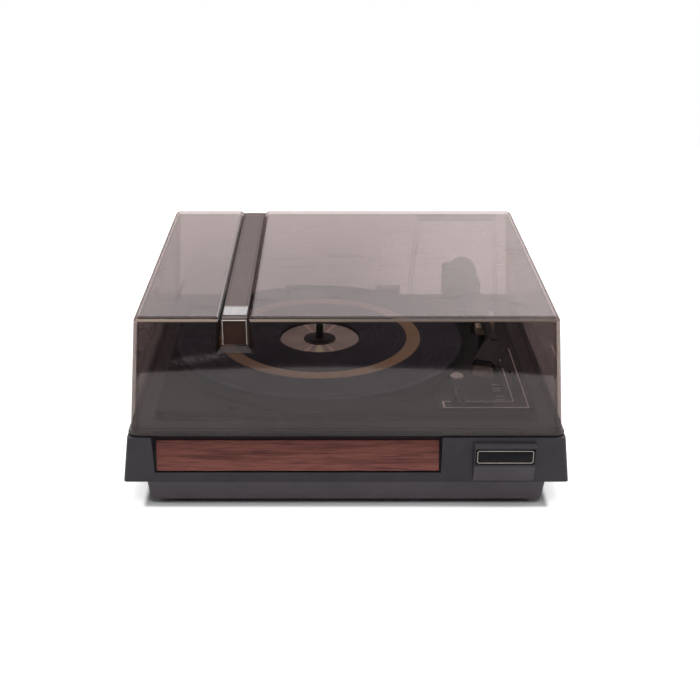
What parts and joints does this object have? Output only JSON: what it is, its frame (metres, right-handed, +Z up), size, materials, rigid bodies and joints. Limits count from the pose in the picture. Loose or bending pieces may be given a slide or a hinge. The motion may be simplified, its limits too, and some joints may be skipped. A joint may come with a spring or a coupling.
{
  "type": "record changer turntable",
  "caption": "Record changer turntable: two-tier charcoal plinth with a sloped walnut front panel, sprung deck, platter, tonearm and a hinged smoked dust cover.",
  "frame": {"origin": "on the table under the middle of the whole outline, at the feet's undersides", "axes": "+X to the right seen from the front, +Y to the rear, +Z up; the wood panel and name plate face -Y"},
  "size_m": [0.388, 0.346, 0.174],
  "materials": {
    "plinth_plastic": "fine satin moulding",
    "walnut": "satin",
    "black_gloss": "gloss",
    "hardboard": "matte",
    "black_rubber": "matte",
    "steel": "plain",
    "smoked_acrylic": "polished",
    "strip_vinyl": "fine grain",
    "badge_metal": "brushed",
    "deck_paint": "satin",
    "black_plastic": "satin",
    "bright_trim": "polished",
    "turned_aluminium": "turned",
    "cast_platter": "cast",
    "mat_rubber": "ribbed",
    "tan_vinyl": "satin",
    "cream_plastic": "satin",
    "coil_winding": "varnished",
    "pulley_brass": "turned",
    "gear_nylon": "plain",
    "lamination": "plain",
    "pickup": "satin",
    "finger_silver": "satin"
  },
  "bodies": {
    "plinth": {"plinth": "plinth_plastic", "base_tray": "plinth_plastic", "wood_panel": "walnut", "name_plate": "black_gloss", "bottom_board": "hardboard", "rubber_feet": "black_rubber", "board_screws": "steel", "cover_bumpers": "black_rubber", "lead_grommets": "black_rubber", "hinge_brackets": "black_plastic", "hinge_pins": "steel", "deck_plate": "deck_paint", "suspension_springs": "steel", "transit_screws": "steel", "control_panel": "black_plastic", "panel_trim": "bright_trim", "bearing_post": "steel", "thrust_washers": "steel", "bearing_balls": "steel", "spindle": "black_plastic", "motor_stack": "lamination", "motor_coil": "coil_winding", "motor_end_plates": "steel", "motor_grommets": "black_rubber", "idler_bracket": "steel", "gear_stud": "steel", "mains_switch": "black_plastic", "arm_base": "black_plastic", "arm_rest_post": "black_plastic", "arm_rest_clip": "cream_plastic", "cue_bracket": "steel"},
    "cover": {"dust_cover": "smoked_acrylic", "cover_strip": "strip_vinyl", "cover_badge": "badge_metal", "hinge_leaves": "smoked_acrylic"},
    "turntable": {"platter": "cast_platter", "platter_hub": "steel", "platter_mat": "mat_rubber", "mat_ring": "tan_vinyl", "trim_disc": "turned_aluminium", "hub_cap": "black_plastic"},
    "rotor": {"motor_rotor": "steel", "motor_pulley": "pulley_brass"},
    "idler": {"idler_hub": "steel", "idler_tyre": "black_rubber"},
    "cycle_train": {"cycle_gear": "gear_nylon"},
    "arm_gimbal": {"arm_yoke": "black_plastic", "pivot_hood": "black_plastic", "pivot_screws": "steel"},
    "tonearm": {"arm_block": "black_plastic", "arm_tube": "deck_paint", "headshell": "black_plastic", "head_plate": "finger_silver", "cartridge": "pickup", "stylus": "steel"},
    "arm_weight": {"counterweight": "deck_paint"},
    "cue_handle": {"cue_lever": "bright_trim"},
    "cue_platform": {"cue_lift": "black_plastic"},
    "speed_slider": {"speed_knob": "black_plastic"},
    "function_slider": {"function_knob": "black_plastic"}
  },
  "joints": [
    {"name": "cover_hinge", "type": "hinge", "parent": "plinth", "child": "cover", "pos_m": [0, 0.165, 0.073], "axis": [-1, 0, 0], "range_deg": [0, 70]},
    {"name": "platter_spin", "type": "hinge", "parent": "plinth", "child": "turntable", "pos_m": [-0.0242, -0.0029, 0.086], "axis": [0, 0, -1], "continuous": true},
    {"name": "idler_spin", "type": "hinge", "parent": "plinth", "child": "idler", "pos_m": [-0.109, 0.06826, 0.082], "axis": [0, 0, -1], "continuous": true},
    {"name": "motor_spin", "type": "hinge", "parent": "plinth", "child": "rotor", "pos_m": [-0.09549, 0.04485, 0.06], "axis": [0, 0, -1], "continuous": true},
    {"name": "cycle_spin", "type": "hinge", "parent": "plinth", "child": "cycle_train", "pos_m": [0.01676, -0.03158, 0.082], "axis": [0, 0, -1], "continuous": true},
    {"name": "tonearm_swing", "type": "hinge", "parent": "plinth", "child": "arm_gimbal", "pos_m": [0.13, 0.092, 0.085], "axis": [0, 0, -1], "range_deg": [0, 39]},
    {"name": "tonearm_lift", "type": "hinge", "parent": "arm_gimbal", "child": "tonearm", "pos_m": [0.13, 0.092, 0.11], "axis": [-0.9989, -0.0462, 0], "range_deg": [0, 6]},
    {"name": "weight_slide", "type": "slide", "parent": "tonearm", "child": "arm_weight", "axis": [-0.0462, 0.9989, 0], "range_m": [-0.004, 0.005]},
    {"name": "cue_tilt", "type": "hinge", "parent": "plinth", "child": "cue_handle", "pos_m": [0.10092, -0.095, 0.068], "axis": [1, 0, 0], "range_deg": [0, 18]},
    {"name": "cue_rise", "type": "slide", "parent": "plinth", "child": "cue_platform", "axis": [0, 0, 1], "range_m": [0, 0.0055]},
    {"name": "speed_slide", "type": "slide", "parent": "plinth", "child": "speed_slider", "axis": [1, 0, 0], "range_m": [0, 0.028]},
    {"name": "function_slide", "type": "slide", "parent": "plinth", "child": "function_slider", "axis": [0, 1, 0], "range_m": [0, 0.036]}
  ],
  "couplings": [
    {"joint": "idler_spin", "follows": "platter_spin", "ratio": 5.625},
    {"joint": "motor_spin", "follows": "platter_spin", "ratio": -49.451},
    {"joint": "cycle_spin", "follows": "platter_spin", "ratio": -0.25},
    {"joint": "cue_rise", "follows": "cue_tilt", "m_per_rad": 0.017506}
  ]
}
